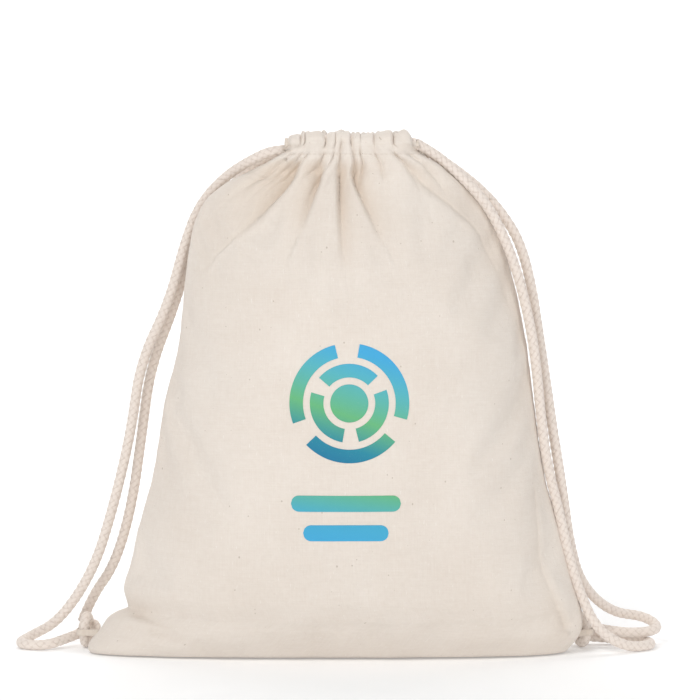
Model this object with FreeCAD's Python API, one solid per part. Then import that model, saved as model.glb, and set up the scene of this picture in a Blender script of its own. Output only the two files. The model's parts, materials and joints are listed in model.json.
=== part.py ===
import FreeCAD, Part
import math
import os

os.makedirs("parts", exist_ok=True)
Vector = FreeCAD.Vector

# Cotton drawstring backpack, standing filled with its neck drawn shut. Millimetres.
# X runs across the bag, Y runs from its printed front (-Y) to its back, Z is up.
# The origin is on the floor under the middle of the bag.

CLOTH = 1.0                 # modelled thickness of one layer of cloth
SEAM_DEPTH = 8.0            # how far a seam allowance stands inside the bag
CORD = 7.2                  # diameter of the braided cord
CORD_GAP = 0.4              # room round a cord in its channel
INK = 0.15                  # thickness of the printed film

NECK_HALF_DEPTH = 25.0      # half the depth of the drawn-shut neck
NECK_Z = 379.0              # seam line between the bag and its drawcord channels
TOP_Z = 401.0               # folded top edge of the channels
CHANNEL_LEFT = -36.0
CHANNEL_RIGHT = 61.0
CHANNEL_ROUND = 6.0         # radius of the channels' folded top edges
TURN_OUT = 7.5              # how far past an opening a cord turns back into the other channel

RADIUS = CORD / 2
# The left cord runs in the inner, lower lanes of the channels and the right cord in the
# outer, upper ones, so that each can slide past the other.
RIGHT_LANE = NECK_HALF_DEPTH - CLOTH - CORD_GAP - RADIUS
LEFT_LANE = RIGHT_LANE - CORD - CORD_GAP
LEFT_LANE_Z = NECK_Z + CLOTH + CORD_GAP + RADIUS
RIGHT_LANE_Z = LEFT_LANE_Z + CORD + CORD_GAP
MOUTH_HALF = LEFT_LANE - RADIUS - CORD_GAP - CLOTH

# Level sections of the filled bag: height, left edge, right edge, half depth, squareness.
# Squareness 2 is an ellipse, less is a pointed lens and more is a rounded box.
SECTIONS = [
    (0, -184, 183, 34, 2.0),
    (12, -189, 189, 44, 2.0),
    (26, -176, 190, 50, 2.0),
    (40, -163, 185, 55, 2.0),
    (60, -160, 178.5, 60, 2.0),
    (95, -151, 169.5, 65, 2.0),
    (140, -139, 158.5, 68, 2.0),
    (190, -131, 152, 68, 2.0),
    (240, -119, 144.8, 64, 1.95),
    (290, -114, 134.2, 56, 1.85),
    (325, -108.5, 122.1, 47, 1.7),
    (345, -99.5, 110.1, 40, 1.7),
    (360, -82, 96.7, 34, 1.75),
    (368, -65, 86.5, 30, 1.9),
    (374, -52, 78, 27, 2.3),
    (NECK_Z, -42, 64, NECK_HALF_DEPTH, 3.0),
]
SECTION_POINTS = 24
BEYOND = 400.0              # further out than any part of the bag
PUSH = 200.0                # how far a print's outline is pushed forward through the front

# Where each cord is held at the bottom: the middle of its tab's loop, and its knot.
TAB_Z = 14.0
TAB_HEIGHT = 8.0
TAB_BORE = 7.0
TIE_RADIUS = 10.0
LEFT_TAB = Vector(-194, 10, TAB_Z)
RIGHT_TAB = Vector(194, 10, TAB_Z)
LEFT_TIE_HEADING = 84.0     # degrees from +X, tab to knot
RIGHT_TIE_HEADING = 108.0
KNOT_COIL = 5.6             # radius of the turns of cord in a knot
KNOT_CORE = 6.5             # radius of the cord crowded into a knot's middle
KNOT_DROP = 2.0             # how far a knot hangs below the height of its tab

# Routes of the four free strands, each from its channel to its knot.
LEFT_FRONT_ROUTE = [
    (CHANNEL_LEFT, -LEFT_LANE, LEFT_LANE_Z),
    (-46, -13, 384),
    (-62, -4, 377.5),
    (-84, 14, 365),
    (-104, 15, 343),
    (-115, 11, 314),
    (-127, 7, 268),
    (-149, 3, 222),
    (-156, 3, 170),
    (-170, 4, 112),
    (-186, 10, 62),
    (-214, 25, 20),
    (-240, 34, 5.5),
    (-246, 12, 3.9),
    (-223, 4, 3.9),
    (-208, 20, 7),
    (-195, 29, 11),
]
LEFT_BACK_ROUTE = [
    (CHANNEL_LEFT, LEFT_LANE, LEFT_LANE_Z),
    (-48, 15, 381),
    (-64, 24, 371.5),
    (-82, 28, 356),
    (-100, 25, 333),
    (-113, 19, 302),
    (-124, 16, 264),
    (-142, 13, 218),
    (-149, 13, 166),
    (-157, 14, 110),
    (-171, 20, 64),
    (-190, 31, 38),
    (-198, 36, 18),
]
RIGHT_FRONT_ROUTE = [
    (CHANNEL_RIGHT, -RIGHT_LANE, RIGHT_LANE_Z),
    (71, -16, 386.5),
    (82, -11, 377.5),
    (97, -9, 363.5),
    (112, -9, 347),
    (124.5, -9, 327),
    (137.5, -9.5, 295),
    (148, -9, 254),
    (153.5, -7, 218),
    (157, -6, 180),
    (162, -5, 144),
    (171, -4, 110),
    (178, -4, 78),
    (186, -5, 50),
    (199, -9, 20),
    (222, -5, 4.2),
    (246, 8, 3.9),
    (242, 29, 3.9),
    (214, 34, 4.5),
    (191, 32, 7),
]
RIGHT_BACK_ROUTE = [
    (CHANNEL_RIGHT, RIGHT_LANE, RIGHT_LANE_Z),
    (70, 17, 387),
    (82, 12, 378),
    (96, 10, 367),
    (111, 9.5, 355),
    (126, 9, 339),
    (141, 8, 316),
    (150, 7, 283),
    (156, 6, 244),
    (162, 5, 204),
    (168, 5, 164),
    (175, 5, 122),
    (180.5, 7, 82),
    (190, 14, 50),
    (215, 34, 25),
    (244, 46, 20),
    (254, 28, 13),
    (235, 18, 11.2),
    (212, 22, 12.5),
    (191, 26, 16.5),
]
TOP_RUNS = 4                # the strand's top stretch ends halfway along this run
ARC_SHARE = 0.45            # share of the shorter run that a bend takes on each side of its corner

# The print: three broken rings, and two plain bars below them.
PRINT_X = 11.0
PRINT_Z = 197.0
PRINT_RADIUS = 44.0
RING_WIDTH = 10.0
RING_PITCH = 15.0           # from one ring's outer edge to the next one's
RING_GAP = 24.0             # degrees between two arcs of a ring
BAR_HEIGHT = 12.0
BAR_ROWS = [                # left end, right end, middle height
    (-32, 49, 123),
    (-23, 40, 101),
]


def closed_section(z, left, right, half_depth, squareness, inset=0.0):
    """A level outline of the bag as one smooth closed curve."""
    middle = (left + right) / 2
    half_width = (right - left) / 2 - inset
    depth = half_depth - inset
    power = 2 / squareness
    points = []
    for n in range(SECTION_POINTS):
        angle = 2 * math.pi * (n + 0.5) / SECTION_POINTS
        across = math.copysign(abs(math.cos(angle)) ** power, math.cos(angle))
        along = math.copysign(abs(math.sin(angle)) ** power, math.sin(angle))
        points.append(Vector(middle + half_width * across, depth * along, z))
    curve = Part.BSplineCurve()
    curve.interpolate(points, PeriodicFlag=True)
    return Part.Wire([curve.toShape()])


def bag_solid(inset=0.0, floor=0.0, open_top=False):
    """The filled bag, or the same shape drawn in by an inset."""
    wires = []
    for z, left, right, half_depth, squareness in SECTIONS:
        level = max(z - inset, floor)
        if wires and level <= wires[-1].BoundBox.ZMax + 1:
            continue
        wires.append(closed_section(level, left, right, half_depth, squareness, inset))
    if open_top:
        last = SECTIONS[-1]
        wires.append(closed_section(NECK_Z + 2, last[1], last[2], last[3], last[4], inset))
    return Part.makeLoft(wires, True, False)


def box(low, high):
    low = Vector(*low)
    high = Vector(*high)
    size = high - low
    return Part.makeBox(size.x, size.y, size.z, low)


def largest(shape):
    return max(shape.Solids, key=lambda solid: solid.Volume)


def half_space(side, gap):
    """A large block in front of (-1) or behind (+1) the seam plane."""
    if side < 0:
        return box((-BEYOND, -BEYOND, -BEYOND), (BEYOND, -gap, 2 * BEYOND))
    return box((-BEYOND, gap, -BEYOND), (BEYOND, BEYOND, 2 * BEYOND))


def channel(side):
    """A drawcord channel: the panel's top edge folded over into a flat tube."""
    outer_y = NECK_HALF_DEPTH
    height = TOP_Z - NECK_Z
    length = CHANNEL_RIGHT - CHANNEL_LEFT
    outer = box((CHANNEL_LEFT, MOUTH_HALF, NECK_Z), (CHANNEL_RIGHT, outer_y, TOP_Z))
    long_edges = [e for e in outer.Edges if abs(e.Length - length) < 1e-6 and e.CenterOfMass.z > LEFT_LANE_Z]
    outer = outer.makeFillet(CHANNEL_ROUND, long_edges)
    inner = box(
        (CHANNEL_LEFT - 1, MOUTH_HALF + CLOTH, NECK_Z + CLOTH),
        (CHANNEL_RIGHT + 1, outer_y - CLOTH, TOP_Z - CLOTH),
    )
    long_edges = [e for e in inner.Edges if abs(e.Length - length - 2) < 1e-6 and e.CenterOfMass.z > LEFT_LANE_Z]
    inner = inner.makeFillet(CHANNEL_ROUND - CLOTH, long_edges)
    tube = outer.cut(inner)
    if side < 0:
        tube = tube.mirror(Vector(0, 0, 0), Vector(0, 1, 0))
    return tube


def stitch_row(side, stitch=2.6, pitch=3.6, thread=0.6):
    """The row of stitches that closes a channel, as separate short threads on its face."""
    stitches = []
    y = side * (NECK_HALF_DEPTH + thread / 2)
    z = NECK_Z + 2.5
    x = CHANNEL_LEFT + 2
    while x + stitch < CHANNEL_RIGHT - 1:
        stitches.append(Part.makeCylinder(thread / 2, stitch, Vector(x, y, z), Vector(1, 0, 0)))
        x += pitch
    return Part.makeCompound(stitches)


def slit_hems(x, out, width=1.2):
    """The narrow hems round the two channel ends at a side opening."""
    hems = []
    for side in (-1, 1):
        tube = channel(side)
        face = tube.Faces[0]
        for candidate in tube.Faces:
            if abs(candidate.CenterOfMass.x - x) < 1e-6:
                face = candidate
        hems.append(face.extrude(Vector(out * width, 0, 0)))
    return Part.makeCompound(hems)


def rounded_path(route, name=""):
    """Straight runs joined by tangent arcs, as one wire. A name prints the bend radii."""
    points = [Vector(*p) for p in route]
    edges = []
    start = points[0]
    radii = []
    for before, here, after in zip(points, points[1:], points[2:]):
        run_in = (here - before).Length
        run_out = (after - here).Length
        reach = ARC_SHARE * min(run_in, run_out)
        back = (before - here).normalize()
        ahead = (after - here).normalize()
        turn = math.pi - back.getAngle(ahead)
        radius = reach / math.tan(turn / 2)
        radii.append(round(radius / CORD, 1))
        first = here + back * reach
        last = here + ahead * reach
        bisector = (back + ahead).normalize()
        middle = here + bisector * (radius / math.cos(turn / 2) - radius)
        edges.append(Part.LineSegment(start, first).toShape())
        edges.append(Part.Arc(first, middle, last).toShape())
        start = last
    edges.append(Part.LineSegment(start, points[-1]).toShape())
    if name:
        print(name, "bend radii in diameters:", radii)
    return Part.Wire(edges)


def cord_tube(route):
    path = rounded_path(route)
    heading = (Vector(*route[1]) - Vector(*route[0])).normalize()
    section = Part.Wire([Part.makeCircle(RADIUS, Vector(*route[0]), heading)])
    tube = path.makePipeShell([section], True, True)
    expected = math.pi * RADIUS**2 * path.Length
    print("tube length", round(path.Length, 1), "volume ratio", round(tube.Volume / expected, 4))
    return tube


def split_route(route, run, share=0.5):
    """Cut a route in the middle of one straight run, into its top and its lower part."""
    before = Vector(*route[run])
    after = Vector(*route[run + 1])
    cut = tuple(before + (after - before) * share)
    return route[: run + 1] + [cut], [cut] + route[run + 1:]


def channel_cord(lane, height, enters_left):
    """One cord inside both channels, with the turn that joins them past the far opening."""
    near = CHANNEL_LEFT if enters_left else CHANNEL_RIGHT
    far = CHANNEL_RIGHT if enters_left else CHANNEL_LEFT
    out = math.copysign(1, far - near)
    corner = CORD                       # radius of the tight turn, at the middle of the cord
    beyond = far + out * TURN_OUT
    inside = beyond - out * corner
    near_corner = beyond - out * corner * (1 - math.sqrt(0.5))
    off_lane = lane - corner * (1 - math.sqrt(0.5))
    points = [
        Vector(near, -lane, height),
        Vector(inside, -lane, height),
        Vector(beyond, corner - lane, height),
        Vector(beyond, lane - corner, height),
        Vector(inside, lane, height),
        Vector(near, lane, height),
    ]
    path = Part.Wire([
        Part.LineSegment(points[0], points[1]).toShape(),
        Part.Arc(points[1], Vector(near_corner, -off_lane, height), points[2]).toShape(),
        Part.LineSegment(points[2], points[3]).toShape(),
        Part.Arc(points[3], Vector(near_corner, off_lane, height), points[4]).toShape(),
        Part.LineSegment(points[4], points[5]).toShape(),
    ])
    section = Part.Wire([Part.makeCircle(RADIUS, points[0], Vector(1, 0, 0))])
    return path.makePipeShell([section], True, True)


def heading_vector(degrees):
    angle = math.radians(degrees)
    return Vector(math.cos(angle), math.sin(angle), 0)


def knot_centre(tab, heading):
    return tab + heading_vector(heading) * (2 * TIE_RADIUS)


def knot(tab, heading):
    """A tightened overhand knot: two crossing turns of cord round a full middle."""
    body = Part.makeSphere(KNOT_CORE)
    for axis in (Vector(0.5, 0.3, 0.8), Vector(-0.7, 0.6, 0.35)):
        body = body.fuse(Part.makeTorus(KNOT_COIL, RADIUS, Vector(0, 0, 0), axis))
    body = largest(body.removeSplitter())
    body.translate(knot_centre(tab, heading) + Vector(0, 0, -KNOT_DROP))
    return body


def tab_tie(tab, heading, tied_knot):
    """The ring of cord that passes through the tab's loop and closes in the knot."""
    along = heading_vector(heading)
    centre = tab + along * TIE_RADIUS
    across = along.cross(Vector(0, 0, 1))
    ring = Part.makeTorus(TIE_RADIUS, RADIUS, centre, across)
    return largest(ring.cut(tied_knot))


def corner_tab(tab, bag, tail_length=12.0, tail_thickness=2.6 * CLOTH):
    """A loop of cotton tape sewn into the side seam at a bottom corner."""
    low = Vector(tab.x, tab.y, tab.z - TAB_HEIGHT / 2)
    up = Vector(0, 0, 1)
    outside = Part.makeCylinder(TAB_BORE + CLOTH, TAB_HEIGHT, low, up)
    hole = Part.makeCylinder(TAB_BORE, TAB_HEIGHT, low, up)
    inner_x = tab.x - math.copysign(tail_length, tab.x)
    left, right = sorted((tab.x, inner_x))
    tail = box((left, -CLOTH, low.z), (right, tail_thickness, low.z + TAB_HEIGHT))
    tape = outside.fuse(tail).cut(hole).cut(bag)
    return largest(tape)


def tab_stitching(tab, bag, length=4.0, thread=0.6, inwards=2.5):
    """Two short bars of thread that hold a tab in its seam."""
    towards_bag = -math.copysign(1, tab.x)
    bars = []
    for up in (-TAB_HEIGHT / 4, TAB_HEIGHT / 4):
        start = Vector(tab.x + towards_bag * inwards, -CLOTH - thread / 2, tab.z + up)
        bar = Part.makeCylinder(thread / 2, length, start, Vector(towards_bag, 0, 0))
        bars.append(largest(bar.cut(bag)))
    return Part.makeCompound(bars)


def ring_print(centre_x, centre_z, radius, width, first_gap):
    """A flat ring in three arcs, standing in the print's plane and pushed through the front."""
    middle = Vector(centre_x, 0, centre_z)
    ring = Part.makeCylinder(radius, PUSH, middle, Vector(0, -1, 0))
    if width >= radius:
        return ring
    ring = ring.cut(Part.makeCylinder(radius - width, PUSH, middle, Vector(0, -1, 0)))
    for n in range(3):
        points = [middle]
        for degrees in (first_gap + 120 * n, first_gap + 120 * n + RING_GAP):
            angle = math.radians(degrees)
            points.append(middle + Vector(math.cos(angle), 0, math.sin(angle)) * (2 * radius))
        points.append(middle)
        ring = ring.cut(Part.Face(Part.makePolygon(points)).extrude(Vector(0, -PUSH, 0)))
    return ring


def bar_print(left, right, z):
    """A bar with round ends, pushed through the front."""
    radius = BAR_HEIGHT / 2
    bar = box((left + radius, -PUSH, z - radius), (right - radius, 0, z + radius))
    for x in (left + radius, right - radius):
        bar = bar.fuse(Part.makeCylinder(radius, PUSH, Vector(x, 0, z), Vector(0, -1, 0)))
    return bar.removeSplitter()


def save(name, shape):
    shape.exportStep("parts/" + name + ".step")
    print(name, "valid", shape.isValid(), "solids", len(shape.Solids), "volume", round(shape.Volume))


outside = bag_solid()
cloth_inside = bag_solid(CLOTH, CLOTH, True)
seam_inside = bag_solid(SEAM_DEPTH, SEAM_DEPTH, True)

shell = outside.cut(cloth_inside)
save("front_panel", largest(shell.common(half_space(-1, CLOTH))))
save("back_panel", largest(shell.common(half_space(1, CLOTH))))

seams = outside.cut(seam_inside)
save("bottom_seam", largest(seams.common(box((-BEYOND, -CLOTH, 0), (BEYOND, CLOTH, SEAM_DEPTH)))))
save("left_side_seam", largest(seams.common(box((-BEYOND, -CLOTH, SEAM_DEPTH), (0, CLOTH, NECK_Z)))))
save("right_side_seam", largest(seams.common(box((0, -CLOTH, SEAM_DEPTH), (BEYOND, CLOTH, NECK_Z)))))

save("front_channel", channel(-1))
save("back_channel", channel(1))
save("front_channel_stitching", stitch_row(-1))
save("back_channel_stitching", stitch_row(1))
save("left_slit_hems", slit_hems(CHANNEL_LEFT, -1))
save("right_slit_hems", slit_hems(CHANNEL_RIGHT, 1))

inked = bag_solid(-INK).cut(outside)
rings = [
    ring_print(PRINT_X, PRINT_Z, PRINT_RADIUS, RING_WIDTH, 80),
    ring_print(PRINT_X, PRINT_Z, PRINT_RADIUS - RING_PITCH, RING_WIDTH, 20),
    ring_print(PRINT_X, PRINT_Z, PRINT_RADIUS - 2 * RING_PITCH, RING_PITCH, 0),
]
arcs = [arc for ring in rings for arc in inked.common(ring).Solids]
bars = [bar_print(left, right, z) for left, right, z in BAR_ROWS]
save("printed_rings", Part.makeCompound(arcs))
save("printed_bars", Part.makeCompound([largest(inked.common(bar)) for bar in bars]))

# Each drawcord is one physical cord. It is split here into the length in the channels,
# the two stretches that bend at the opening, the two free strands, the knot and the tie.
for side, tab, heading, routes in (
    ("left", LEFT_TAB, LEFT_TIE_HEADING, (LEFT_FRONT_ROUTE, LEFT_BACK_ROUTE)),
    ("right", RIGHT_TAB, RIGHT_TIE_HEADING, (RIGHT_FRONT_ROUTE, RIGHT_BACK_ROUTE)),
):
    if side == "left":
        in_channel = channel_cord(LEFT_LANE, LEFT_LANE_Z, True)
    else:
        in_channel = channel_cord(RIGHT_LANE, RIGHT_LANE_Z, False)
    tied_knot = knot(tab, heading)
    tie = tab_tie(tab, heading, tied_knot)
    save(side + "_channel_cord", in_channel)
    save(side + "_knot", tied_knot)
    save(side + "_tab_tie", tie)
    save(side + "_corner_tab", corner_tab(tab, outside))
    save(side + "_tab_stitching", tab_stitching(tab, outside))
    for place, route in zip(("front", "back"), routes):
        rounded_path(route, side + "_" + place + "_route")
        top, lower = split_route(route, TOP_RUNS)
        save(side + "_" + place + "_strand_top", largest(cord_tube(top).cut(in_channel)))
        save(side + "_" + place + "_strand", largest(cord_tube(lower).cut(tied_knot).cut(tie)))
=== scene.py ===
import json
import math
import random

import bpy
import numpy as np
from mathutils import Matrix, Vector, noise
from mathutils.bvhtree import BVHTree

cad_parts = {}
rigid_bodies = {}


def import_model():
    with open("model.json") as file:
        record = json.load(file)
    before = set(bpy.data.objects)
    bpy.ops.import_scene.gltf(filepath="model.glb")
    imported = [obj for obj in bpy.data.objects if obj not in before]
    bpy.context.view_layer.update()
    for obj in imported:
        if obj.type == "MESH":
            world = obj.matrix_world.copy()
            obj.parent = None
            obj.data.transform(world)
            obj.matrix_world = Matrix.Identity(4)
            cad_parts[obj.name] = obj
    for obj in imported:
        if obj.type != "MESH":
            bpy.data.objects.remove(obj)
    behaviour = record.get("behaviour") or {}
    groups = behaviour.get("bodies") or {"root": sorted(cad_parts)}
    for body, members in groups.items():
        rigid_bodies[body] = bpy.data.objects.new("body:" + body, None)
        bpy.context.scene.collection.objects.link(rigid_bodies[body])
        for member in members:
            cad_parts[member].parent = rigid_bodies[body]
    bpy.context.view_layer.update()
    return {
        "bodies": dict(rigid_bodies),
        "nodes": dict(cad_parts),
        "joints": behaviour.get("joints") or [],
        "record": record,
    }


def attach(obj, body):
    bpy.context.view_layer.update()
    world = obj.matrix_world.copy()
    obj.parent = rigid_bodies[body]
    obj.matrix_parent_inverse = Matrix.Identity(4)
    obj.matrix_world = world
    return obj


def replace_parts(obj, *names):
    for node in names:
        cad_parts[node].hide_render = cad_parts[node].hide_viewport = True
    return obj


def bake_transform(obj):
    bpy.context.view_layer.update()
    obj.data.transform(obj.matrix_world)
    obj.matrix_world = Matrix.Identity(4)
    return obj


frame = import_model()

MM = 0.001

# ---------- camera

CAMERA_AT = (11.5 * MM, -1800 * MM, 330 * MM)
CAMERA_TILT = 3.11          # degrees below level
CAMERA_LENS = 121.5         # on a 36 mm sensor


def add_camera():
    data = bpy.data.cameras.new("camera")
    data.lens = CAMERA_LENS
    data.sensor_width = 36
    data.clip_start = 0.05
    data.clip_end = 50
    camera = bpy.data.objects.new("camera", data)
    camera.location = CAMERA_AT
    camera.rotation_euler = (math.radians(90 - CAMERA_TILT), 0, 0)
    bpy.context.collection.objects.link(camera)
    bpy.context.scene.camera = camera


add_camera()

# ---------- sizes shared with the frame, in mm

CLOTH = 1.0
CORD = 7.2
RADIUS = CORD / 2
NECK_HALF_DEPTH = 25.0
NECK_Z = 379.0
TOP_Z = 401.0
CHANNEL_LEFT = -36.0
CHANNEL_RIGHT = 61.0
TURN_INSIDE = 4.6           # how far the turn between the channels stays inside their ends
RIGHT_LANE = 20.0           # distance of each run of the right cord from the bag's middle plane
LEFT_LANE = 12.4
LEFT_LANE_Z = 384.0
RIGHT_LANE_Z = 391.6        # the right cord lies over the left one in the channels
RIGHT_EXIT_Z = 388.8        # and drops a little before it comes out
TAB_Z = 14.0
TAB_SHOWN = 5.0             # height of the tape of a tab
TAB_BORE = 4.6
TAB_RIBS = 9                # points across the tape
TIE_RADIUS = 10.0           # radius of the cord's turn through a tab
LEFT_TAB = Vector((-194, 10, TAB_Z))
RIGHT_TAB = Vector((194, 10, TAB_Z))
LEFT_TIE_HEADING = 84.0     # degrees from the x axis, the way that a tie leads to its knot
RIGHT_TIE_HEADING = 108.0
KNOT_DROP = 2.0             # how far a knot sags below its tie
KNOT_SIZE = 1.95            # scale of the knot's lobes
KNOT_DEPTH = 3.1            # scale of its thickness
KNOT_POINTS = 181
TOP_RUNS = 4                # runs of a route before its strand's top ends

LEFT_FRONT_ROUTE = [
    (CHANNEL_LEFT, -LEFT_LANE, LEFT_LANE_Z),
    (-46, -13, 384),
    (-62, -4, 377.5),
    (-84, 14, 365),
    (-104, 15, 343),
    (-115, 11, 314),
    (-127, 7, 268),
    (-149, 3, 222),
    (-156, 3, 170),
    (-170, 4, 112),
    (-186, 10, 62),
    (-214, 25, 20),
    (-240, 34, 5.5),
    (-246, 12, 3.9),
    (-223, 4, 3.9),
    (-208, 20, 7),
    (-195, 29, 11),
]
LEFT_BACK_ROUTE = [
    (CHANNEL_LEFT, LEFT_LANE, LEFT_LANE_Z),
    (-48, 15, 381),
    (-64, 24, 371.5),
    (-82, 28, 356),
    (-100, 25, 333),
    (-113, 19, 302),
    (-124, 16, 264),
    (-142, 13, 218),
    (-149, 13, 166),
    (-157, 14, 110),
    (-171, 20, 64),
    (-190, 31, 38),
    (-198, 36, 18),
]
RIGHT_FRONT_ROUTE = [
    (CHANNEL_RIGHT, -RIGHT_LANE, RIGHT_EXIT_Z),
    (71, -16, 383.5),
    (82, -11, 376),
    (97, -9, 363),
    (112, -9, 347),
    (124.5, -9, 327),
    (137.5, -9.5, 295),
    (148, -9, 254),
    (153.5, -7, 218),
    (157, -6, 180),
    (162, -5, 144),
    (171, -4, 110),
    (178, -4, 78),
    (186, -5, 50),
    (199, -9, 20),
    (222, -5, 4.2),
    (246, 8, 3.9),
    (242, 29, 3.9),
    (214, 34, 4.5),
    (191, 32, 7),
]
RIGHT_BACK_ROUTE = [
    (CHANNEL_RIGHT, RIGHT_LANE, RIGHT_EXIT_Z),
    (70, 17, 384.5),
    (82, 12, 377),
    (96, 10, 367),
    (111, 9.5, 355),
    (126, 9, 339),
    (141, 8, 316),
    (150, 7, 283),
    (156, 6, 244),
    (162, 5, 204),
    (168, 5, 164),
    (175, 5, 122),
    (180.5, 7, 82),
    (190, 14, 50),
    (215, 34, 25),
    (244, 46, 20),
    (254, 28, 13),
    (235, 18, 11.2),
    (212, 22, 12.5),
    (191, 26, 16.5),
]


# ---------- small mesh helpers

def add_object(name, points, faces, material, smooth=True):
    mesh = bpy.data.meshes.new(name)
    mesh.from_pydata([tuple(p) for p in points], [], faces)
    mesh.materials.append(material)
    if smooth:
        mesh.polygons.foreach_set("use_smooth", [True] * len(mesh.polygons))
    mesh.update()
    obj = bpy.data.objects.new(name, mesh)
    bpy.context.collection.objects.link(obj)
    return obj


def grid_faces(rows, columns, closed=False):
    faces = []
    last = columns if closed else columns - 1
    for r in range(rows - 1):
        for c in range(last):
            following = (c + 1) % columns
            faces.append((r * columns + c, r * columns + following,
                          (r + 1) * columns + following, (r + 1) * columns + c))
    return faces


def joined(patches):
    """Several patches of points and faces as one list of each."""
    corners, faces = [], []
    for points, sides in patches:
        offset = len(corners)
        corners.extend(points)
        faces.extend(tuple(i + offset for i in side) for side in sides)
    return corners, faces


def flipped(faces, turn_over):
    return [tuple(reversed(face)) for face in faces] if turn_over else faces


def write_values(obj, name, values):
    """One number for each point of a piece, for its material to read."""
    attribute = obj.data.attributes.new(name, "FLOAT", "POINT")
    attribute.data.foreach_set("value", np.ravel(values).astype(np.float32))


def write_uv(obj, flat):
    """The piece's UV map, from one flat place for each of its points."""
    layer = obj.data.uv_layers.new(name="cloth")
    corner = np.empty(len(obj.data.loops), dtype=np.int64)
    obj.data.loops.foreach_get("vertex_index", corner)
    layer.data.foreach_set("uv", np.array(flat)[corner].astype(np.float32).ravel())


def distances_along(points):
    return np.concatenate([[0], np.cumsum(np.linalg.norm(np.diff(points, axis=0), axis=1))])


def places_at(points, wanted):
    """Places at the wanted distances along a line."""
    along = distances_along(points)
    return np.stack([np.interp(wanted, along, points[:, k]) for k in range(3)], axis=1)


def resample(points, step):
    """Points an even distance apart along a line."""
    points = np.array(points, float)
    length = distances_along(points)[-1]
    return places_at(points, np.linspace(0, length, max(int(round(length / step)), 2) + 1))


def unit(vectors):
    """Vectors in the last axis of an array, made one unit long."""
    return vectors / np.maximum(np.linalg.norm(vectors, axis=-1, keepdims=True), 1e-9)


def carried_sides(headings, side):
    """A sideways direction carried along a line without twisting round it."""
    sides = []
    for heading in headings:
        side = side - heading * np.dot(side, heading)
        side = side / np.linalg.norm(side)
        sides.append(side)
    return np.array(sides)


def tube_points(line, distance, start=None):
    """Points round a line, with one row of distances from it for each of its points. start is
    square to the direction from which the points are counted."""
    headings = unit(np.gradient(line, axis=0))
    if start is None:
        start = (0, 0, 1) if abs(headings[0][2]) < 0.9 else (1, 0, 0)
    sides = carried_sides(headings, np.cross(headings[0], start))
    ups = np.cross(headings, sides)
    angle = 2 * np.pi * np.arange(distance.shape[1]) / distance.shape[1]
    return (line[:, None, :]
            + distance[:, :, None] * (np.cos(angle)[None, :, None] * sides[:, None, :]
                                      + np.sin(angle)[None, :, None] * ups[:, None, :])).reshape(-1, 3)


# ---------- materials

SHADER_INPUTS = {
    "roughness": "Roughness",
    "specular": "Specular IOR Level",
    "sheen": "Sheen Weight",
    "sheen_roughness": "Sheen Roughness",
    "glow": "Emission Strength",
}


def new_material(name):
    material = bpy.data.materials.new(name)
    material.use_nodes = True
    tree = material.node_tree
    shader = tree.nodes["Principled BSDF"]
    return material, tree, shader


def noise_node(tree, coordinates, scale, detail=3.0, roughness=0.55):
    node = tree.nodes.new("ShaderNodeTexNoise")
    node.inputs["Scale"].default_value = scale
    node.inputs["Detail"].default_value = detail
    node.inputs["Roughness"].default_value = roughness
    tree.links.new(coordinates, node.inputs["Vector"])
    return node.outputs["Fac"]


def ramp_node(tree, value, stops):
    node = tree.nodes.new("ShaderNodeValToRGB")
    ramp = node.color_ramp
    while len(ramp.elements) < len(stops):
        ramp.elements.new(0.5)
    for element, (place, colour) in zip(ramp.elements, stops):
        element.position = place
        element.color = (*colour, 1)
    tree.links.new(value, node.inputs["Fac"])
    return node.outputs["Color"]


def mix_node(tree, factor, first, second):
    """Mix two colours. Each input is a socket or a plain value."""
    node = tree.nodes.new("ShaderNodeMix")
    node.data_type = "RGBA"
    for socket, value in ((node.inputs[0], factor), (node.inputs[6], first), (node.inputs[7], second)):
        if isinstance(value, bpy.types.NodeSocket):
            tree.links.new(value, socket)
        elif isinstance(value, (int, float)):
            socket.default_value = value
        else:
            socket.default_value = (*value, 1)
    return node.outputs[2]


def math_node(tree, operation, *values):
    node = tree.nodes.new("ShaderNodeMath")
    node.operation = operation
    for socket, value in zip(node.inputs, values):
        if isinstance(value, bpy.types.NodeSocket):
            tree.links.new(value, socket)
        else:
            socket.default_value = value
    return node.outputs[0]


def times(tree, first, second):
    return math_node(tree, "MULTIPLY", first, second)


def plus(tree, first, second):
    return math_node(tree, "ADD", first, second)


def attribute_node(tree, name):
    node = tree.nodes.new("ShaderNodeAttribute")
    node.attribute_name = name
    return node.outputs["Fac"]


def cloth_uv(tree):
    node = tree.nodes.new("ShaderNodeUVMap")
    node.uv_map = "cloth"
    return node.outputs["UV"]


def object_coordinates(tree):
    return tree.nodes.new("ShaderNodeTexCoord").outputs["Object"]


def finish_shader(tree, shader, colour, normal=None, **values):
    """Link a material's colour and normal, and set the rest of its shader's values."""
    tree.links.new(colour, shader.inputs["Base Color"])
    if normal is not None:
        tree.links.new(normal, shader.inputs["Normal"])
    for name, value in values.items():
        shader.inputs[SHADER_INPUTS[name]].default_value = value


def scaled(tree, coordinates, scale):
    node = tree.nodes.new("ShaderNodeMapping")
    node.inputs["Scale"].default_value = scale
    tree.links.new(coordinates, node.inputs["Vector"])
    return node.outputs["Vector"]


def bump_node(tree, height, distance, strength=1.0, normal=None):
    node = tree.nodes.new("ShaderNodeBump")
    node.inputs["Distance"].default_value = distance
    node.inputs["Strength"].default_value = strength
    tree.links.new(height, node.inputs["Height"])
    if normal is not None:
        tree.links.new(normal, node.inputs["Normal"])
    return node.outputs["Normal"]


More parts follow.
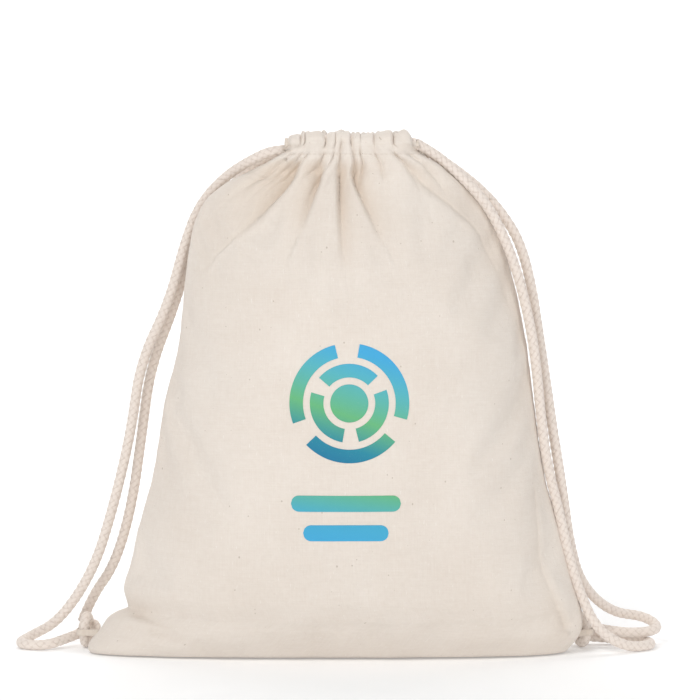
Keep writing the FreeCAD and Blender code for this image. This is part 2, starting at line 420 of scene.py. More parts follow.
COTTON = (0.80, 0.733, 0.665)
COTTON_SHADE = (0.735, 0.655, 0.58)
TAPE = (0.78, 0.70, 0.62)
TAPE_SHADE = (0.68, 0.59, 0.50)
FLECK = (0.30, 0.22, 0.15)
SLUB = (0.90, 0.86, 0.81)
FOLD_PAINTED_SHADE = (0.66, 0.53, 0.41) # painted shade: the warmer, darker tone painted down in a fold, for its shade and the light bounced in it
# painted shade down between the cord's strands
CORD_PAINTED_SHADE = (0.57, 0.47, 0.40)
CORD_BACK = (0.83, 0.745, 0.675)
CORD_BLOTCH = (0.77, 0.68, 0.62)
THREAD_SHADE = (0.66, 0.58, 0.50)
THREAD = (0.82, 0.75, 0.68)
INK_BLUE = (0.065, 0.39, 0.68)
INK_GREEN = (0.14, 0.46, 0.21)
INK_NAVY = (0.02, 0.14, 0.33)
YARN_SCALE = 1500           # noise scale across the yarns, per metre of cloth
YARN_LENGTH_SCALE = 45      # and along them
WEAVE_SCALE = 330
FLECK_SCALE = 150


def seed_flecks(tree, uv, base):
    """Dark seed flecks of uneven size and short pale slubs over the base colour."""
    cells = tree.nodes.new("ShaderNodeTexVoronoi")
    cells.inputs["Scale"].default_value = FLECK_SCALE
    cells.inputs["Randomness"].default_value = 1.0
    tree.links.new(scaled(tree, uv, (1.0, 0.8, 1)), cells.inputs["Vector"])
    reach = times(tree, math_node(tree, "SUBTRACT", noise_node(tree, uv, 75, 1), 0.40), 0.36)
    small = math_node(tree, "LESS_THAN", cells.outputs["Distance"], reach)
    flecked = mix_node(tree, times(tree, small, 0.40), base, FLECK)
    slub = noise_node(tree, scaled(tree, uv, (900, 170, 1)), 1.0, 1)
    pale = times(tree, math_node(tree, "GREATER_THAN", slub, 0.73), 0.45)
    return mix_node(tree, pale, flecked, SLUB)


def weave_height(tree, uv):
    waves = []
    for direction in ("X", "Y"):
        wave = tree.nodes.new("ShaderNodeTexWave")
        wave.bands_direction = direction
        wave.inputs["Scale"].default_value = WEAVE_SCALE
        wave.inputs["Distortion"].default_value = 1.2
        wave.inputs["Detail"].default_value = 1.0
        tree.links.new(uv, wave.inputs["Vector"])
        waves.append(wave.outputs["Fac"])
    return times(tree, *waves)


def cloth_material(name="cotton_cloth", colour=COTTON, shade=COTTON_SHADE):
    """Plain-woven unbleached cotton: uneven yarns, a fine weave and seed flecks, and painted shade, warm and
    dark, down in the folds.
    The cloth's UV map is in metres along its warp and weft."""
    material, tree, shader = new_material(name)
    uv = cloth_uv(tree)
    warp = noise_node(tree, scaled(tree, uv, (YARN_SCALE, YARN_LENGTH_SCALE, 1)), 1.0, 2)
    weft = noise_node(tree, scaled(tree, uv, (YARN_LENGTH_SCALE, YARN_SCALE, 1)), 1.0, 2)
    mottle = noise_node(tree, uv, 260, 4, 0.65)
    yarns = plus(tree, times(tree, warp, 0.5), times(tree, weft, 0.5))
    broad = noise_node(tree, uv, 14, 3)
    tone = plus(tree, times(tree, broad, 0.35), times(tree, yarns, 0.4))
    tone = plus(tree, tone, times(tree, mottle, 0.25))
    base = ramp_node(tree, tone, [(0.36, shade), (0.60, colour)])
    flecked = seed_flecks(tree, uv, base)
    # painted shade: the colour is darkened and warmed by how deep in a fold each point lies
    with_painted_fold_shade = mix_node(tree, times(tree, attribute_node(tree, "hollow"), 0.6), flecked, FOLD_PAINTED_SHADE)
    normal = bump_node(tree, mottle, 0.0005, 0.5)
    normal = bump_node(tree, yarns, 0.0004, 0.5, normal)
    normal = bump_node(tree, weave_height(tree, uv), 0.00025, 0.5, normal)
    finish_shader(tree, shader, with_painted_fold_shade, normal, roughness=0.92, specular=0.15, sheen=0.25,
                  sheen_roughness=0.5)
    return material


def cord_material():
    """Braided cotton, with painted shade: the colour is darker in the hollows between the strands than on
    their backs.
    """
    material, tree, shader = new_material("cotton_cord")
    coordinates = object_coordinates(tree)
    fibres = noise_node(tree, coordinates, 900, 3)
    blotch = noise_node(tree, coordinates, 60, 3)
    # painted shade: the braid's height darkens the colour in the hollows between the strands
    tone = plus(tree, times(tree, attribute_node(tree, "braid"), 0.65), times(tree, fibres, 0.35))
    base = ramp_node(tree, tone, [(0.12, CORD_PAINTED_SHADE), (0.62, CORD_BACK)])
    base = mix_node(tree, times(tree, blotch, 0.35), base, CORD_BLOTCH)
    normal = bump_node(tree, fibres, 0.0006, 0.7)
    finish_shader(tree, shader, base, normal, roughness=0.9, specular=0.15, sheen=0.3)
    return material


def thread_material():
    material, tree, shader = new_material("cotton_thread")
    twist = noise_node(tree, object_coordinates(tree), 2500, 2)
    finish_shader(tree, shader, ramp_node(tree, twist, [(0.3, THREAD_SHADE), (0.7, THREAD)]), roughness=0.8)
    return material


def print_material(name, stops):
    """Matt screen print on cloth: the weave shows through and the ink is thin on the yarns' backs."""
    material, tree, shader = new_material(name)
    uv = cloth_uv(tree)
    split = tree.nodes.new("ShaderNodeSeparateXYZ")
    tree.links.new(uv, split.inputs[0])
    blend = plus(tree, times(tree, split.outputs["X"], 0.25), times(tree, split.outputs["Y"], 0.75))
    base = ramp_node(tree, blend, stops)
    speck = noise_node(tree, uv, 60, 4, 0.8)
    worn = ramp_node(tree, speck, [(0.62, (0, 0, 0)), (0.80, (0.35, 0.35, 0.35))])
    normal = bump_node(tree, speck, 0.0003, 0.5)
    finish_shader(tree, shader, mix_node(tree, worn, base, COTTON), normal, roughness=0.75, specular=0.2)
    return material


cloth = cloth_material()
tape = cloth_material("cotton_tape", TAPE, TAPE_SHADE)
cord_stuff = cord_material()
thread = thread_material()

# ---------- cords


def spline_points(route):
    """The points of a smooth curve drawn through a route, in metres."""
    curve = bpy.data.curves.new("route", "CURVE")
    curve.dimensions = "3D"
    curve.resolution_u = 16
    spline = curve.splines.new("NURBS")
    spline.points.add(len(route) - 1)
    for point, place in zip(spline.points, route):
        point.co = (place[0] * MM, place[1] * MM, place[2] * MM, 1)
    spline.order_u = 3
    spline.use_endpoint_u = True
    holder = bpy.data.objects.new("route", curve)
    bpy.context.collection.objects.link(holder)
    mesh = bpy.data.meshes.new_from_object(holder)
    points = np.array([v.co for v in mesh.vertices], float)
    bpy.data.meshes.remove(mesh)
    bpy.data.objects.remove(holder)
    bpy.data.curves.remove(curve)
    return points


STRANDS_ROUND = 4           # strands that run each way round the braid
STRAND_LENGTH = 5.6 * MM    # length of cord in which a strand passes one other
END_HEIGHT = 0.4            # braid height that stands for a cord's flat end


def braid_height(turn, along):
    """Height of the braid's surface, 0 in a hollow and 1 on a strand's back."""
    one = STRANDS_ROUND * turn + along / STRAND_LENGTH
    other = STRANDS_ROUND * turn - along / STRAND_LENGTH
    cell_one = np.floor(one)
    cell_other = np.floor(other)
    across_one = one - cell_one
    across_other = other - cell_other
    first = np.sin(np.pi * across_one) ** 0.6 * (1 - 0.35 * (2 * across_other - 1) ** 2)
    second = np.sin(np.pi * across_other) ** 0.6 * (1 - 0.35 * (2 * across_one - 1) ** 2)
    return np.where((cell_one + cell_other) % 2 == 0, first, second)


def braided_cord(name, line, radius=RADIUS * MM, around=30, step=0.75 * MM, start_along=0.0):
    """A round braided cord along a line of points in metres."""
    line = resample(line, step)
    along = start_along + distances_along(line)
    heights = braid_height((np.arange(around) / around)[None, :], along[:, None])
    points = tube_points(line, radius * (0.95 + 0.16 * heights))
    points = np.vstack([points, line[0], line[-1]])
    faces = grid_faces(len(line), around, closed=True)
    first, last = len(points) - 2, len(points) - 1
    base = (len(line) - 1) * around
    for c in range(around):
        following = (c + 1) % around
        faces.append((first, following, c))
        faces.append((last, base + c, base + following))
    obj = add_object(name, points, faces, cord_stuff)
    write_values(obj, "braid", np.concatenate([heights.ravel(), [END_HEIGHT, END_HEIGHT]]))
    return obj


def split_route(route, run):
    """A route in two parts that meet in the middle of one of its runs."""
    cut = tuple((np.array(route[run], float) + np.array(route[run + 1], float)) / 2)
    return route[: run + 1] + [cut], [cut] + route[run + 1:]


def arc_points(centre, radius, start, end, first_axis, second_axis, steps):
    points = []
    for n in range(steps + 1):
        angle = start + (end - start) * n / steps
        first, second = radius * math.cos(angle), radius * math.sin(angle)
        points.append(centre + Vector(first_axis) * first + Vector(second_axis) * second)
    return points


def heading_vector(degrees):
    return Vector((math.cos(math.radians(degrees)), math.sin(math.radians(degrees)), 0))


def overhand_knot(name, tab, heading):
    """A tightened overhand knot in the braided cord, at the end of its tie."""
    centre = tab + heading_vector(heading) * (2 * TIE_RADIUS) - Vector((0, 0, KNOT_DROP))
    line = []
    for share in np.linspace(0.02, 0.98, KNOT_POINTS):
        t = 2 * math.pi * share
        across = math.sin(t) + 2 * math.sin(2 * t)
        up = math.cos(t) - 2 * math.cos(2 * t)
        through = -math.sin(3 * t)
        line.append(centre + Vector((across * KNOT_SIZE, through * KNOT_DEPTH, up * KNOT_SIZE)))
    line = [tuple(p * MM) for p in line]
    return braided_cord(name, line, radius=RADIUS * 0.93 * MM, around=26)


def tab_tie(name, tab, heading):
    """The length of cord that passes through a tab's loop and closes in the knot."""
    along = heading_vector(heading)
    centre = tab + along * TIE_RADIUS
    points = arc_points(centre, TIE_RADIUS, math.radians(12), math.radians(348), along, (0, 0, 1), 80)
    return braided_cord(name, [tuple(p * MM) for p in points], around=26)


def channel_cord(name, lane, height, exit_height, enters_left):
    """A cord's length in both channels, from its exit to the turn at the far opening and back."""
    near = CHANNEL_LEFT if enters_left else CHANNEL_RIGHT
    far = CHANNEL_RIGHT if enters_left else CHANNEL_LEFT
    out = math.copysign(1, far - near)
    inside = far - out * (TURN_INSIDE + CORD)
    points = [Vector((near, -lane, exit_height)), Vector(((near + far) / 2, -lane, height))]
    for turn, first, second in (
        (Vector((inside, CORD - lane, height)), (0, -1, 0), (out, 0, 0)),
        (Vector((inside, lane - CORD, height)), (out, 0, 0), (0, 1, 0)),
    ):
        points += arc_points(turn, CORD, 0, math.pi / 2, first, second, 16)
    points += [Vector(((near + far) / 2, lane, height)), Vector((near, lane, exit_height))]
    return braided_cord(name, [tuple(p * MM) for p in points])


def add_strand(name, strap, route):
    """One strand: its short top beside the neck, and the rest, which swings."""
    top, lower = split_route(route, TOP_RUNS)
    top_line, lower_line = spline_points(top), spline_points(lower)
    top_length, lower_length = distances_along(top_line)[-1], distances_along(lower_line)[-1]
    upper = braided_cord(name + "_cord_top", top_line)
    free = braided_cord(name + "_cord", lower_line, start_along=top_length)
    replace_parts(upper, name + "_strand_top")
    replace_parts(free, name + "_strand")
    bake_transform(upper)
    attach(free, strap)


def add_drawcord(side, tab, heading, lane, height, exit_height, front_route, back_route):
    """One whole drawcord: its length in the channels, its knot, its tie and its two strands."""
    strap = side + "_strap"
    name = side + "_drawcord_in_channel"
    in_channel = channel_cord(name, lane, height, exit_height, side == "left")
    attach(in_channel, side + "_cord_loop")
    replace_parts(in_channel, side + "_channel_cord")
    knot = overhand_knot(side + "_cord_knot", tab, heading)
    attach(knot, strap)
    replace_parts(knot, side + "_knot")
    tie = tab_tie(side + "_cord_tie", tab, heading)
    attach(tie, strap)
    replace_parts(tie, side + "_tab_tie")
    add_strand(side + "_front", strap, front_route)
    add_strand(side + "_back", strap, back_route)


add_drawcord("left", LEFT_TAB, LEFT_TIE_HEADING, LEFT_LANE, LEFT_LANE_Z, LEFT_LANE_Z,
             LEFT_FRONT_ROUTE, LEFT_BACK_ROUTE)
add_drawcord("right", RIGHT_TAB, RIGHT_TIE_HEADING, RIGHT_LANE, RIGHT_LANE_Z, RIGHT_EXIT_Z,
             RIGHT_FRONT_ROUTE, RIGHT_BACK_ROUTE)

# ---------- the bag's cloth

# Level sections of the filled bag: height, left edge, right edge, half depth, squareness.
SECTIONS = [
    (0, -187.5, 176, 34, 2.8),
    (4, -190.5, 180, 37, 2.6),
    (9, -188.5, 184.5, 41, 2.4),
    (15, -183, 188, 45, 2.2),
    (21, -178.5, 190, 48, 2.1),
    (26, -175.5, 190.5, 50, 2.0),
    (30, -170, 190, 51, 2.0),
    (32.5, -164.5, 189.5, 52, 2.0),
    (35, -159, 189, 53, 2.0),
    (40, -160, 187.5, 55, 2.0),
    (49, -162, 184.5, 58, 2.0),
    (68, -157, 179, 61, 2.0),
    (95, -151, 172, 65, 2.0),
    (140, -139, 160, 68, 2.0),
    (190, -131, 152.5, 68, 2.0),
    (240, -119, 146, 64, 1.95),
    (290, -114, 135.5, 56, 1.85),
    (325, -108.5, 123.5, 47, 1.75),
    (345, -99.5, 111.5, 40, 1.8),
    (360, -82, 98, 34, 2.0),
    (368, -65, 87.5, 30, 2.5),
    (374, -52, 80, 27.5, 3.4),
    (NECK_Z, -42, 68, NECK_HALF_DEPTH, 5.0),
]
COLUMNS = 241
FLOOR_Z = 0.6               # height of the cloth that lies on the floor
FLOOR_ROWS = 7
CHANNEL_OUT = 24.6          # outer face of a channel, at the bottom of its gathers
CHANNEL_IN = 8.0            # inner face
FOLD_Z = TOP_Z - 5.5        # height of the cloth where it turns over at the top
FOLD_ROUND = 6.0            # height of that turn
OUTSIDE_ROWS = 14           # rows up the outside of a channel
TURN_ROWS = 26              # rows round the whole turn at its top
CHANNEL_ROWS = OUTSIDE_ROWS + TURN_ROWS // 2
BASE_ROWS = 8               # rows from the inner face back out to the stitches
CHANNEL_BLEND = 9.0         # height in which the panel turns into the channel's straight side
MOUTH_LEFT = -36.4          # ends of the channels' cloth
MOUTH_RIGHT = 62.0
BACK_UV = 3.7               # moves the back's piece of cloth away from the front's, in metres


def smooth_values(heights, values, wanted):
    """A smooth curve through values, with no overshoot between them."""
    heights, values = np.array(heights, float), np.array(values, float)
    gaps = np.diff(heights)
    slopes = np.diff(values) / gaps
    tangents = np.zeros(len(values))
    tangents[0], tangents[-1] = slopes[0], slopes[-1]
    for n in range(1, len(values) - 1):
        if slopes[n - 1] * slopes[n] > 0:
            tangents[n] = 2 / (1 / slopes[n - 1] + 1 / slopes[n])
    wanted = np.clip(wanted, heights[0], heights[-1])
    run = np.clip(np.searchsorted(heights, wanted, side="right") - 1, 0, len(gaps) - 1)
    t = (wanted - heights[run]) / gaps[run]
    return (values[run] * (2 * t**3 - 3 * t**2 + 1) + tangents[run] * gaps[run] * (t**3 - 2 * t**2 + t)
            + values[run + 1] * (3 * t**2 - 2 * t**3) + tangents[run + 1] * gaps[run] * (t**3 - t**2))


def section_values(z):
    """Left edge, right edge, half depth and squareness at heights z."""
    heights = [s[0] for s in SECTIONS]
    return [smooth_values(heights, [s[k] for s in SECTIONS], np.asarray(z, float)) for k in (1, 2, 3, 4)]


def row_heights():
    """Heights of the cloth's rows, closer together towards the floor and the neck."""
    low = list(np.linspace(FLOOR_Z, 60, 34)[:-1])
    middle = list(np.linspace(60, 300, 84)[:-1])
    high = list(np.linspace(300, NECK_Z, 64))
    return np.array(low + middle + high)


def half_outline(left, right, half_depth, squareness, side):
    """Half of one section, from the left seam to the right one, in even steps."""
    angles = np.linspace(math.pi, 0, 721)
    across = np.sign(np.cos(angles)) * np.abs(np.cos(angles)) ** (2 / squareness)
    out = np.abs(np.sin(angles)) ** (2 / squareness)
    x = (left + right) / 2 + (right - left) / 2 * across
    y = side * half_depth * out
    outline = np.stack([x, y, np.zeros(len(x))], axis=1)
    even = places_at(outline, np.linspace(0, distances_along(outline)[-1], COLUMNS))
    return even[:, 0], even[:, 1]


def level_row(x, y, z):
    return np.stack([x, y, np.full(COLUMNS, z)], axis=1)


def bare_panel(side):
    """One panel of the filled bag before its folds: the floor rows, then the rows upwards."""
    heights = row_heights()
    rows = []
    sections = list(zip(*section_values(heights)))
    first_x, first_y = half_outline(*sections[0], side)
    for share in np.arange(FLOOR_ROWS) / FLOOR_ROWS:
        rows.append(level_row(first_x, first_y * share, FLOOR_Z))
    for z, section in zip(heights, sections):
        rows.append(level_row(*half_outline(*section, side), z))
    neck_row = rows[-1]
    for y, z in channel_section()[:CHANNEL_ROWS]:
        share = smooth_step((z - NECK_Z) / CHANNEL_BLEND)
        x = neck_row[:, 0] * (1 - share) + np.linspace(MOUTH_LEFT, MOUTH_RIGHT, COLUMNS) * share
        rows.append(level_row(x, neck_row[:, 1] * (1 - share) + side * y * share, z))
    return np.array(rows)


def channel_section():
    """Section of a channel: up the outside, over the top, down the inside and back to the seam."""
    middle = (CHANNEL_OUT + CHANNEL_IN) / 2
    half = (CHANNEL_OUT - CHANNEL_IN) / 2
    low = FOLD_Z - FOLD_ROUND
    outside = [(CHANNEL_OUT, z) for z in np.linspace(NECK_Z, low, OUTSIDE_ROWS + 1)[1:]]
    turn = []
    for angle in np.linspace(0, math.pi, TURN_ROWS + 1)[1:]:
        across = math.copysign(abs(math.cos(angle)) ** 0.75, math.cos(angle))
        turn.append((middle + half * across, low + FOLD_ROUND * math.sin(angle) ** 0.75))
    inside = [(CHANNEL_IN, z) for z in np.linspace(low, NECK_Z + 1.5, 16)[1:]]
    base = [(y, NECK_Z + 0.4) for y in np.linspace(CHANNEL_IN + 1.0, CHANNEL_OUT - 1.2, BASE_ROWS)]
    return outside + turn + inside + base


def section_directions():
    """The way that faces out of the channel at each point of its section, as (y, z)."""
    headings = unit(np.gradient(np.array(channel_section()), axis=0))
    return np.stack([headings[:, 1], -headings[:, 0]], axis=1)


def smooth_step(t):
    t = np.clip(t, 0, 1)
    return t * t * (3 - 2 * t)


def grid_normals(grid, side):
    return -side * unit(np.cross(np.gradient(grid, axis=1), np.gradient(grid, axis=0)))


def neck_x(x, z):
    """Where the yarn that passes a point reaches the neck."""
    left, right = section_values(z)[:2]
    last_left, last_right = SECTIONS[-1][1:3]
    share = (x - (left + right) / 2) / ((right - left) / 2)
    reached = (last_left + last_right) / 2 + share * (last_right - last_left) / 2
    return np.where(z > NECK_Z, x, reached)


def gather_lean(side, z, valleys):
    """Sideways drift of each valley on its way up the channel."""
    numbers = random.Random(11 + side)
    leans = np.array([numbers.uniform(-0.26, 0.26) for _ in valleys])
    leans[0] = leans[-1] = 0
    return sorted(np.array(valleys) + leans * max(z - NECK_Z, 0))


# The sharp valleys between the gathers along the neck, from left to right.
FRONT_VALLEYS = [-44, -33.5, -26, -20.5, -8.5, -1, 4.2, 13.8, 19.4, 30.4, 45.4, 56, 66]
GATHER_RISE = 0.62          # rise of a gather as a share of its width
GATHER_TOP = 7.0            # the most that a gather rises
GATHER_MEAN = 4.2           # rise that the uneven gathers vary about
FOLD_SHADE_FULL_DEPTH = 11.0         # fold depth at which the painted shade in a fold is strongest
GATHER_BULGE = 0.11         # how far a gather swells over the valleys beside it, as a share of its width


def random_valleys(seed, start, end, narrowest, widest, last_gap):
    """Valleys at random distances apart. The last one is moved to the end of the run."""
    numbers = random.Random(seed)
    places = [start]
    while places[-1] < end - last_gap:
        places.append(places[-1] + numbers.uniform(narrowest, widest))
    places[-1] = end
    return places


def outer_valleys(side):
    return FRONT_VALLEYS if side < 0 else random_valleys(5, -44.0, 66.0, 5.0, 13.5, 10.0)


def inner_valleys(side):
    """The finer gathers that the hem crowds into on the inside of the mouth."""
    return random_valleys(31 + side, MOUTH_LEFT - 1.0, MOUTH_RIGHT + 1.0, 3.3, 4.8, 5.0)


def gathers_at(x, valleys):
    """Height of the gathers over their valleys, and how far they swell sideways. Each gather has
    its own height and roundness and leans its own way."""
    numbers = random.Random(4 + len(valleys))
    valleys = np.array(valleys, float)
    heights = np.array([numbers.uniform(0.62, 1.1) for _ in valleys])
    leans = np.array([2 ** numbers.uniform(-0.75, 0.75) for _ in valleys])
    rounds = np.array([numbers.uniform(0.5, 0.95) for _ in valleys])
    run = np.clip(np.searchsorted(valleys, x, side="right") - 1, 0, len(valleys) - 2)
    width = valleys[run + 1] - valleys[run]
    t = np.clip((x - valleys[run]) / width, 1e-6, 1 - 1e-6)
    rise = np.minimum(width * GATHER_RISE, GATHER_TOP) * heights[run]
    swell = -GATHER_BULGE * width * np.sin(2 * np.pi * t)
    return rise * np.sin(np.pi * t ** leans[run]) ** rounds[run], swell


# Long folds that run down from the neck: the points they pass, depth at the start and end,
# and how far the cloth takes to come back out on the left and on the right side.
FRONT_FOLDS = [
    ([(-24, 379), (-33, 364), (-49, 346), (-74, 320)], 13.0, 2.5, 25, 2.4),
    ([(-8.5, 379), (-11, 364), (-17, 348), (-27, 322)], 12.5, 1.6, 14, 1.8),
    ([(4.2, 381), (3.0, 362), (3.5, 340), (7, 296)], 12.0, 1.0, 1.7, 9.5),
    ([(13.8, 379), (15, 362), (21, 348), (38, 312)], 10.5, 1.0, 1.8, 14),
    ([(31, 382), (33, 372), (39, 362)], 5.5, 0.6, 2.0, 5),
    ([(20, 381), (21, 371), (16, 362)], 5.0, 0.6, 1.6, 4),
    ([(-20.5, 382), (-22, 374), (-20, 366)], 4.0, 0.5, 1.6, 3.5),
    ([(47, 382), (66, 360), (106, 326), (128, 285), (148, 240)], 4.5, 2.6, 4.0, 17),
    ([(-34, 380), (-58, 366), (-84, 346)], 4.0, 0.8, 3, 9),
    ([(-154, 34), (-142, 30), (-124, 24)], 4.0, 0.4, 2.5, 7),
    ([(-140, 22), (-120, 16), (-98, 12)], 2.0, 0.4, 2.5, 5),
    ([(156, 128), (158, 90), (164, 56), (176, 24)], 2.0, 5.0, 9, 3),
]
BACK_FOLDS = [
    ([(-24, 377), (-38, 358), (-66, 330)], 6.0, 0.8, 12, 3.0),
    ([(2, 379), (0, 355), (-8, 318)], 6.5, 0.6, 3.0, 8),
    ([(22, 378), (30, 356), (46, 322)], 6.0, 0.6, 9, 2.5),
    ([(42, 378), (62, 356), (96, 322), (118, 280)], 5.0, 0.8, 3.0, 13),
    ([(-40, 376), (-72, 350), (-98, 310)], 4.0, 0.6, 12, 4),
    ([(-170, 40), (-150, 46), (-126, 70)], 3.0, 0.3, 5, 9),
    ([(176, 36), (150, 50), (130, 84)], 3.0, 0.3, 9, 5),
]


def fold_depth(x, z, fold):
    """How far one long fold draws the cloth in at points of the panel."""
    corners, start_depth, end_depth, left_width, right_width = fold
    line = resample([(*corner, 0) for corner in smooth_line(corners)], 2.0)[:, :2]
    share = np.linspace(0, 1, len(line))
    nearest = np.full(x.shape, 1e9)
    side_of = np.zeros(x.shape)
    along = np.zeros(x.shape)
    headings = np.gradient(line, axis=0)
    for (px, pz), (hx, hz), t in zip(line, headings, share):
        distance = np.hypot(x - px, z - pz)
        closer = distance < nearest
        nearest = np.where(closer, distance, nearest)
        side_of = np.where(closer, (x - px) * hz - (z - pz) * hx, side_of)
        along = np.where(closer, t, along)
    rightwards = side_of * np.sign(-np.mean(headings[:, 1])) < 0
    width = np.where(rightwards, right_width, left_width) * (0.55 + 0.75 * along)
    depth = start_depth + (end_depth - start_depth) * along**1.3
    return depth * np.exp(-(nearest / width) ** 1.25)


def smooth_line(corners):
    """A Catmull-Rom curve through a few points of a fold."""
    points = [np.array(c, float) for c in corners]
    points = [2 * points[0] - points[1]] + points + [2 * points[-1] - points[-2]]
    line = []
    for before, start, end, after in zip(points, points[1:], points[2:], points[3:]):
        square = 2 * before - 5 * start + 4 * end - after
        cube = 3 * start - before - 3 * end + after
        for t in np.linspace(0, 1, 9)[:-1]:
            line.append(0.5 * (2 * start + (end - before) * t + square * t**2 + cube * t**3))
    line.append(points[-2])
    return line


def cloth_noise(x, y, z, scale, seed):
    """Soft undulation between -1 and 1."""
    flat = np.stack([x.ravel() / scale[0] + seed, y.ravel() / scale[1] - seed, z.ravel() / scale[2]], axis=1)
    values = np.array([noise.noise(Vector(p)) for p in flat])
    return values.reshape(x.shape)


def row_noise(x, scale, second, third):
    return np.array([noise.noise(Vector((px / scale, second, third))) for px in x])


def gathered_row(side, row, out_y, out_z, n, eased=1.0):
    """One row of a channel with its gathers, which get finer from the outside to the inside."""
    x, z = row[:, 0], channel_section()[n][1]
    leaning = gather_lean(side, min(z, FOLD_Z - FOLD_ROUND), outer_valleys(side))
    outer_rise, outer_swell = gathers_at(x, leaning)
    fine_rise, fine_swell = gathers_at(x, inner_valleys(side))
    fine_rise = np.minimum(fine_rise * 3.4, CHANNEL_IN - 0.5)
    inside = smooth_step((n - OUTSIDE_ROWS - TURN_ROWS * 0.3) / (TURN_ROWS * 0.6))
    rise = outer_rise * (1 - inside) + fine_rise * inside
    swell = outer_swell * (1 - inside) + fine_swell * inside
    strength = np.clip(0.9 + 1.1 * row_noise(x, 9.0, side * 7.0, z / 8.0), 0.25, 1.15)
    strength = 1 + (strength - 1) * smooth_step((z - NECK_Z) / 4.0) * (1 - inside)
    rise = GATHER_MEAN + (rise - GATHER_MEAN) * strength
    from_end = np.minimum(x - MOUTH_LEFT, MOUTH_RIGHT - x)
    end_share = np.clip(from_end / 12.0, 0, 1)
    share = (0.45 + 0.55 * abs(out_y)) * (0.6 + 0.4 * end_share) * eased
    if n >= len(channel_section()) - BASE_ROWS:
        share = share / 0.45 * 0.8
    wave = row_noise(x, 6.0, side * 3.0, 0.5)
    crinkle = row_noise(x, 2.6, side * 5.0, z / 7.0)
    lift = np.clip((z - (FOLD_Z - FOLD_ROUND) + 4) / 8, 0, 1)
    placed = row.copy()
    placed[:, 0] += swell * share
    placed[:, 1] += side * out_y * (rise + 0.7 * crinkle) * share
    placed[:, 2] += out_z * rise * share + lift * (wave * 2.6 - 4.5 * (1 - end_share) ** 2 - 0.6)
    return placed


def slack_cloth(side, x, y, z, below):
    """Undulation of cloth that isn't pulled tight: broad and finer waves all over the panel,
    short creases at the neck and soft ones above the floor."""
    slack = np.clip(below / 60, 0, 1) * np.clip(z / 25, 0, 1)
    near_neck = np.exp(-(below / 26.0) ** 1.5) * smooth_step(below / 5.0)
    low = np.clip(1 - z / 70, 0, 1) * np.clip(z / 6, 0, 1)
    out = np.zeros(x.shape)
    for depth, where, scale, seed in (
        (2.4, slack, (48, 60, 110), 3),
        (0.8, slack, (17, 25, 34), 9),
        (0.8, near_neck, (3.2, 9, 16), 27),
        (1.6, low, (26, 30, 60), 15),
    ):
        out += depth * where * cloth_noise(x, y, z, scale, seed + side)
    return out


def smooth_rows(grid, first, last, rounds, inset=0):
    """Even out rows of a grid with the rows beside them."""
    columns = slice(inset, grid.shape[1] - inset)
    for _ in range(rounds):
        beside = grid[first - 1:last - 1, columns] + grid[first + 1:last + 1, columns]
        grid[first:last, columns] = (grid[first:last, columns] * 2 + beside) / 4


def folded_panel(side):
    """A panel with its gathers, long folds and slack, and how deep in a fold each point lies, which sets the
    painted shade in the folds.
    """
    grid = bare_panel(side)
    x, y, z = grid[:, :, 0], grid[:, :, 1], grid[:, :, 2]
    below = np.maximum(NECK_Z - z, 0)
    columns = np.arange(COLUMNS)
    to_seam = (np.minimum(columns, columns[::-1]) / (COLUMNS - 1))[None, :]
    off_seam = np.clip(to_seam / 0.06, 0, 1)
    level = np.zeros_like(grid)
    level[:, :, 1] = side
    turned = np.exp(-(below / 9.0) ** 2)[:, :, None]
    normals = unit(grid_normals(grid, side) * (1 - turned) + level * turned)
    rise, swell = gathers_at(neck_x(x, z), outer_valleys(side))
    fade = np.exp(-(below / 15.0) ** 1.1)
    hollow = np.zeros(x.shape)
    for fold in FRONT_FOLDS if side < 0 else BACK_FOLDS:
        hollow += fold_depth(x, z, fold) * smooth_step(below / 10.0)
    out = (rise * fade - hollow + slack_cloth(side, x, y, z, below)) * off_seam
    pucker = np.exp(-to_seam * 60) * np.clip(z / 8, 0, 1)
    out += 0.5 * pucker * cloth_noise(x, y, z, (9, 9, 7), 21)
    out -= np.exp(-(to_seam / 0.006) ** 2) * np.clip(z / 4, 0, 1)
    bare = grid
    grid = grid + normals * out[:, :, None]
    grid[:, :, 0] += swell * fade * off_seam
    body = len(grid) - CHANNEL_ROWS
    for n, (out_y, out_z) in enumerate(section_directions()[:CHANNEL_ROWS]):
        share = smooth_step((z[body + n, 0] - NECK_Z) / CHANNEL_BLEND)
        eased = off_seam[0] * (1 - share) + share
        grid[body + n] = gathered_row(side, bare[body + n], out_y, out_z, n, eased)
    smooth_rows(grid, body - 10, body + OUTSIDE_ROWS - 2, 8)
    grid[:, :, 2] = np.maximum(grid[:, :, 2], FLOOR_Z)
    grid[:-CHANNEL_ROWS, [0, -1], 1] = 0.0
    grid[0, :, 1] = 0.0
    smooth_rows(grid, 2, FLOOR_ROWS + 9, 3, inset=1)
    # how deep in a fold each point lies, from 0 to 1, which sets the painted shade in the folds
    return grid, np.clip(hollow * off_seam / FOLD_SHADE_FULL_DEPTH, 0, 1)


def add_thickness(obj, thickness, offset):
    solid = obj.modifiers.new("cloth thickness", "SOLIDIFY")
    solid.thickness = thickness * MM
    solid.offset = offset


